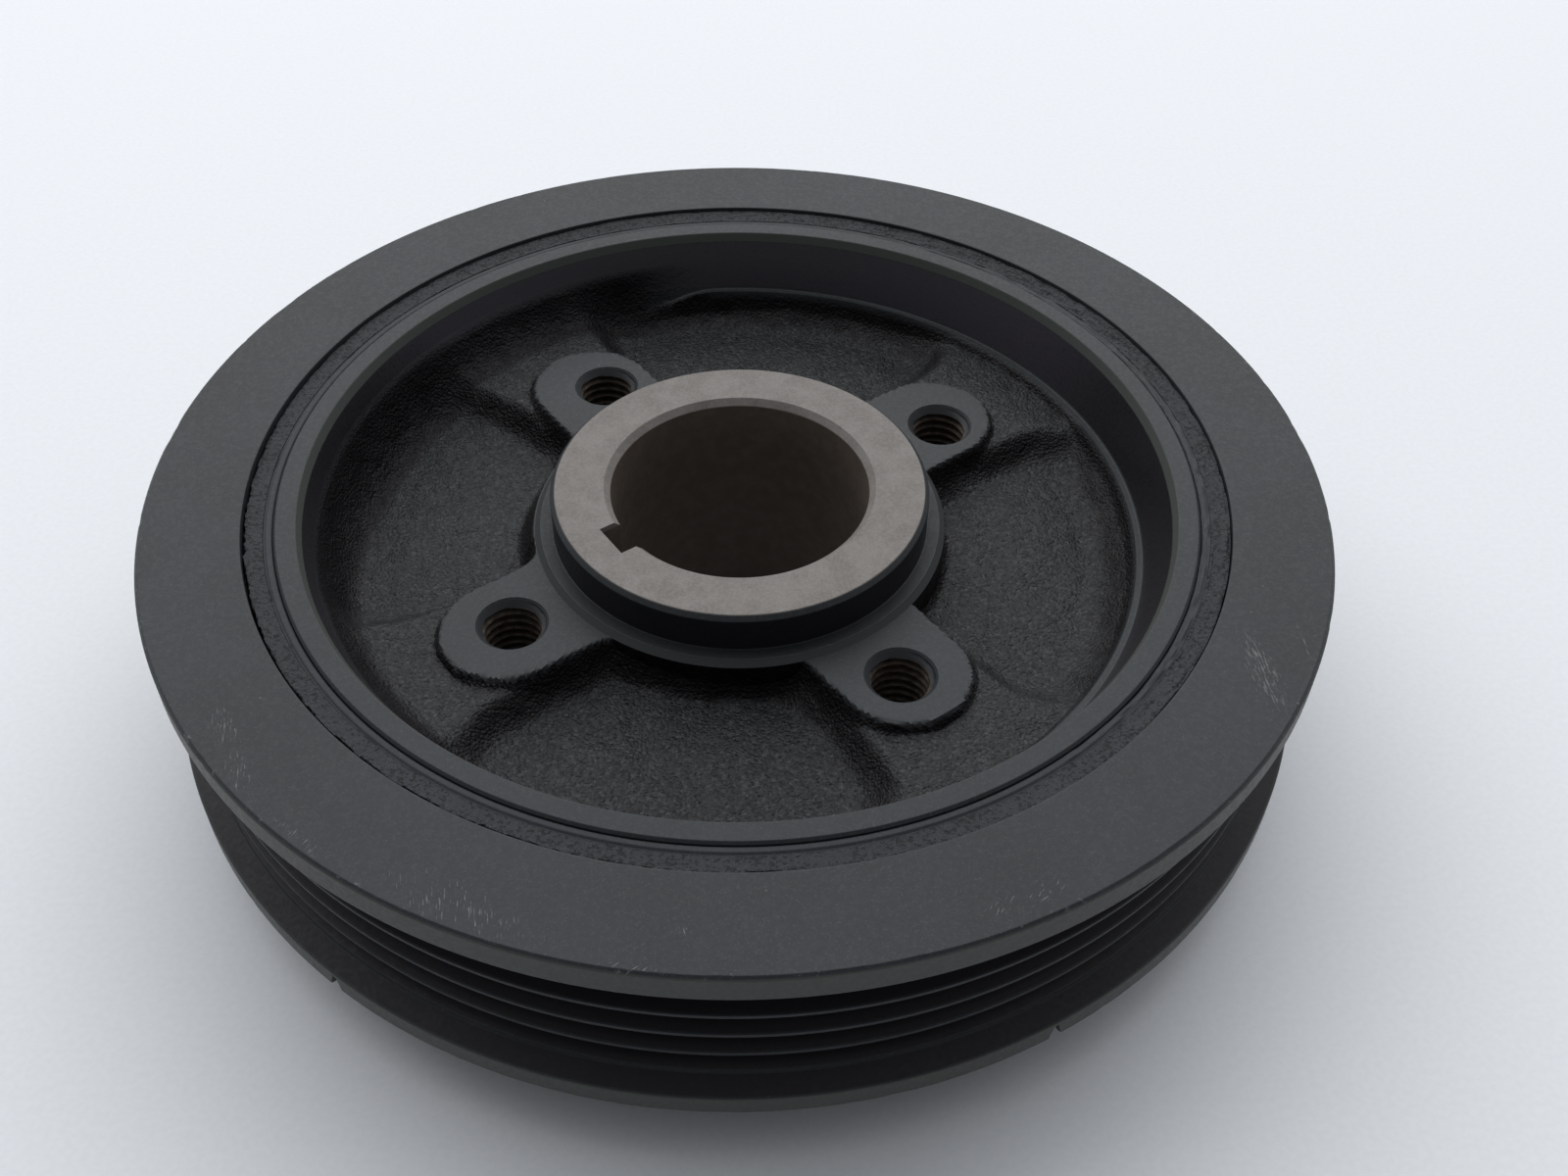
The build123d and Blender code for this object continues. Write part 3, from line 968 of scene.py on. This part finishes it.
def hub_material():
    """Paint of the hub over its raw casting, with the bare nose face and bore."""
    n = Nodes("hub_paint")
    colour, rough, normal = paint_base(n)
    r, z = n.radius_height()
    # raw casting; painted shade on its steep walls makes it darker and a little metallic there
    cast = n.attribute("cast")
    grain = n.noise(0.55, detail=2.0, rough=0.6, offset=11)
    lumps = n.noise(2.4, rough=0.5, offset=12)
    lot, distance = n.cells(0.36)
    raw = n.mix(n.ramp(lot, 0.1, 0.8), CAST_DARK, CAST_LIGHT)
    raw = n.mix(n.ramp(lot, 0.80, 0.97, 0.0, 0.55), raw, PAINT_LIGHT)
    wall_shade = n.times(n.attribute("steep_shade"), n.ramp(lumps, 0.35, 0.65, 0.72, 1.0))
    raw = n.mix(wall_shade, raw, CAST_PAINTED_SHADE)
    colour = n.mix(cast, colour, raw)
    metallic = n.times(n.times(wall_shade, cast), 0.45)
    rough = n.minus(rough, n.times(cast, 0.02))
    height = n.minus(grain, n.times(distance, 0.6))
    height = n.plus(height, n.times(lumps, 0.8))
    normal = n.bump(n.times(height, cast), 0.20, 1.0, normal)
    # dish wall: painted shade to the sides and painted light on the far side; smoother too
    wall = n.between(r, DISH_FLOOR_R - 0.1, DISH_WALL_R + 0.03, 0.03)
    wall = n.times(wall, n.between(z, DISH_Z + 0.3, DISH_WALL_Z - 0.05, 0.08))
    wall = n.times(wall, n.minus(1.0, cast))
    x, y, _ = n.axes()
    side = n.ramp(n.math("ABSOLUTE", x), 30.0 * MM, 48.0 * MM, 0.1, 0.9)
    colour = n.mix(n.times(wall, side), colour, PAINT_SHADE)
    far = n.ramp(y, 15.0 * MM, 35.0 * MM, 0.0, 0.6)
    colour = n.mix(n.times(wall, far), colour, WALL_FAR_PAINTED_LIGHT)
    rough = n.minus(rough, n.times(wall, 0.18))
    # lighter chamfer at the dish's mouth
    mouth = n.between(r, DISH_WALL_R + 0.01, MOUTH_R + 0.02, 0.03)
    mouth = n.times(mouth, n.ramp(z, DISH_WALL_Z - 0.05, DISH_WALL_Z + 0.05))
    colour = n.mix(n.times(mouth, 0.85), colour, MOUTH_PAINT)
    # painted shade on the nose wall and the step's flat, and painted light on the step's foot
    nose_wall_shade = n.between(r, NOSE_R - 0.2, NOSE_R + 0.15, 0.05)
    nose_wall_shade = n.times(nose_wall_shade, n.between(z, STEP_Z + 0.05, NOSE_Z - 0.65, 0.05))
    step_flat_shade = n.between(r, NOSE_R + 0.1, STEP_R - 0.1, 0.05)
    step_flat_shade = n.times(step_flat_shade, n.between(z, STEP_Z - 0.15, STEP_Z + 0.15, 0.05))
    step_foot_light = n.between(r, STEP_R - 0.04, STEP_FOOT_R + 0.1, 0.04)
    step_foot_light = n.times(step_foot_light, n.between(z, DISH_Z + 0.03, STEP_Z - 0.08, 0.03))
    colour = n.mix(n.times(nose_wall_shade, 0.55), colour, PAINT_SHADE)
    colour = n.mix(n.times(step_flat_shade, 0.4), colour, PAINT_SHADE)
    colour = n.mix(n.times(step_foot_light, 0.8), colour, PAINT_LIGHT)
    # bare nose face, bore and keyway
    on_nose = n.ramp(z, NOSE_Z - 0.9, NOSE_Z - 0.7)
    on_nose = n.times(on_nose, n.ramp(r, NOSE_R - 0.45, NOSE_R - 0.6))
    key_r = BORE_R + KEY_DEPTH
    in_bore = n.ramp(r, key_r + 0.2, key_r + 0.1)
    in_bore = n.times(in_bore, n.between(z, BORE_CHAMFER + 0.05, NOSE_Z - 0.8, 0.1))
    stain = n.noise(3.5, detail=4.0, rough=0.6, offset=17)
    tool = n.noise(0.35, rough=0.6, offset=18)
    mottle = n.noise(1.8, detail=4.0, rough=0.6, offset=19)
    bare = n.mix(n.ramp(stain, 0.35, 0.65), NOSE_DARK, NOSE_LIGHT)
    bare = n.mix(n.ramp(tool, 0.35, 0.7, 0.0, 0.35), bare, TOOL_MARKS)
    colour = n.mix(on_nose, colour, bare)
    colour = n.mix(in_bore, colour, n.mix(n.ramp(mottle, 0.35, 0.7), BORE_DARK, BORE_LIGHT))
    return n.finish(colour, rough, normal, metallic)


def rubber_material():
    """Paint over the rubber ring, with black pits in its outer band and a black crack."""
    n = Nodes("rubber_paint")
    colour, rough, normal = paint_base(n, scaled(PAINT, 1.05))
    r, z = n.radius_height()
    band = n.between(r, RIM_R + 1.18, RING_BORE_R - 0.1, 0.05)
    patches = n.noise(5.0, rough=0.6, offset=25)
    share = n.ramp(patches, 0.3, 0.7, 0.12, 0.42)
    lot, _ = n.cells(0.34)
    holes = n.ramp(n.minus(share, lot), 0.0, 0.05)
    colour = n.mix(n.times(n.times(holes, band), 0.75), colour, PIT_BLACK)
    deep = n.ramp(z, RUBBER_FRONT_Z - 0.25, RUBBER_FRONT_Z - 0.5)
    colour = n.mix(deep, colour, CRACK_BLACK)
    pits = n.noise(0.5, rough=0.7, offset=23)
    normal = n.bump(n.times(pits, band), 0.3, 1.0, normal)
    return n.finish(colour, rough, normal, specular=0.20)


def thread_material():
    """Brown metal of the threads, painted at the holes' mouths."""
    n = Nodes("thread_metal")
    mottle = n.noise(0.9, offset=29)
    _, z = n.radius_height()
    painted_z = DISH_Z - 0.7
    bare_z = DISH_Z - 1.1
    colour = n.mix(n.ramp(mottle, 0.35, 0.65), THREAD_DARK, THREAD_LIGHT)
    colour = n.mix(n.ramp(z, bare_z, painted_z), colour, PAINT)
    metallic = n.ramp(z, painted_z, bare_z, 0.0, 0.3)
    return n.finish(colour, 0.52, n.bump(mottle, 0.03, 0.4), metallic)


def paper_material():
    """White paper under the part."""
    n = Nodes("paper")
    grain = n.noise(0.8, detail=4.0)
    colour = n.mix(n.ramp(grain, 0.3, 0.7), PAPER_DARK, PAPER_LIGHT)
    return n.finish(colour, 0.85, n.bump(grain, 0.02, 0.2), specular=0.2)


def put_material(obj, material):
    obj.data.materials.clear()
    obj.data.materials.append(material)


# ---------------------------------------------------------------- pieces
belt_ring = make_belt_ring()
put_material(belt_ring, ring_material())
rubber_ring = make_rubber_ring()
put_material(rubber_ring, rubber_material())
hub = make_hub()
put_material(hub, hub_material())
threads = make_threads()
put_material(threads, thread_material())
for piece, node, slot_name in (
    (belt_ring, "belt_ring", "belt_ring"),
    (rubber_ring, "rubber_ring", "rubber_ring"),
    (hub, "hub", "hub"),
):
    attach(piece, "root")
    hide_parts(node)
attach(threads, "root")


# ---------------------------------------------------------------- floor (m)
floor = mesh_object("floor", [(-3, -3, 0), (3, -3, 0), (3, 3, 0), (-3, 3, 0)], [(0, 1, 2, 3)])
put_material(floor, paper_material())


# ---------------------------------------------------------------- light
def add_softbox():
    """Wide soft light high up on the far side, turned to the part."""
    data = bpy.data.lights.new("key_softbox", "AREA")
    data.shape = "RECTANGLE"
    data.size = 2.4
    data.size_y = 1.5
    data.energy = 14.0
    place = Vector((-0.15, 0.75, 0.95))
    softbox = bpy.data.objects.new("key_softbox", data)
    softbox.location = place
    softbox.rotation_euler = (-place).to_track_quat("-Z", "Y").to_euler()
    bpy.context.scene.collection.objects.link(softbox)


# Each glow of the surroundings: its direction, the share of that direction at which it
# starts and ends, and its strength there
GLOWS = (
    ((0.0, 1.0, 0.0), -0.55, 0.6, 0.13, 0.62),  # near side to far side
    ((0.0, 0.39, 0.92), 0.45, 0.95, 0.0, 0.50),  # overhead
    ((0.0, 0.0, 1.0), 0.05, 0.40, 0.30, 0.0),  # low down
)


def add_surroundings():
    """Dim surroundings that grow brighter towards the far side, overhead and low down."""
    world = bpy.data.worlds.new("studio")
    bpy.context.scene.world = world
    world.use_nodes = True
    nodes = world.node_tree.nodes
    link = world.node_tree.links.new
    background = nodes["Background"]
    background.inputs["Color"].default_value = (*SKY, 1.0)
    coords = nodes.new("ShaderNodeTexCoord")
    total = None
    for direction, low, high, start, end in GLOWS:
        along = nodes.new("ShaderNodeVectorMath")
        along.operation = "DOT_PRODUCT"
        along.inputs[1].default_value = direction
        link(coords.outputs["Generated"], along.inputs[0])
        fall = nodes.new("ShaderNodeMapRange")
        fall.interpolation_type = "SMOOTHSTEP"
        fall.inputs["From Min"].default_value = low
        fall.inputs["From Max"].default_value = high
        fall.inputs["To Min"].default_value = start
        fall.inputs["To Max"].default_value = end
        link(along.outputs["Value"], fall.inputs["Value"])
        glow = fall.outputs["Result"]
        if total is not None:
            add = nodes.new("ShaderNodeMath")
            link(total, add.inputs[0])
            link(glow, add.inputs[1])
            glow = add.outputs[0]
        total = glow
    link(total, background.inputs["Strength"])


# ---------------------------------------------------------------- camera
def add_camera():
    """Camera in metres, radians and millimetres of lens, as fitted to the part's edges."""
    data = bpy.data.cameras.new("camera")
    data.sensor_width = 36.0
    data.lens = 36.7888
    data.clip_start = 0.01
    camera = bpy.data.objects.new("camera", data)
    camera.location = (0.000146, -0.149332, 0.164362)
    camera.rotation_euler = (0.786573, -0.015071, -0.022133)
    bpy.context.scene.collection.objects.link(camera)
    bpy.context.scene.camera = camera


add_softbox()
add_surroundings()
add_camera()
bpy.context.scene.view_settings.view_transform = "Standard"
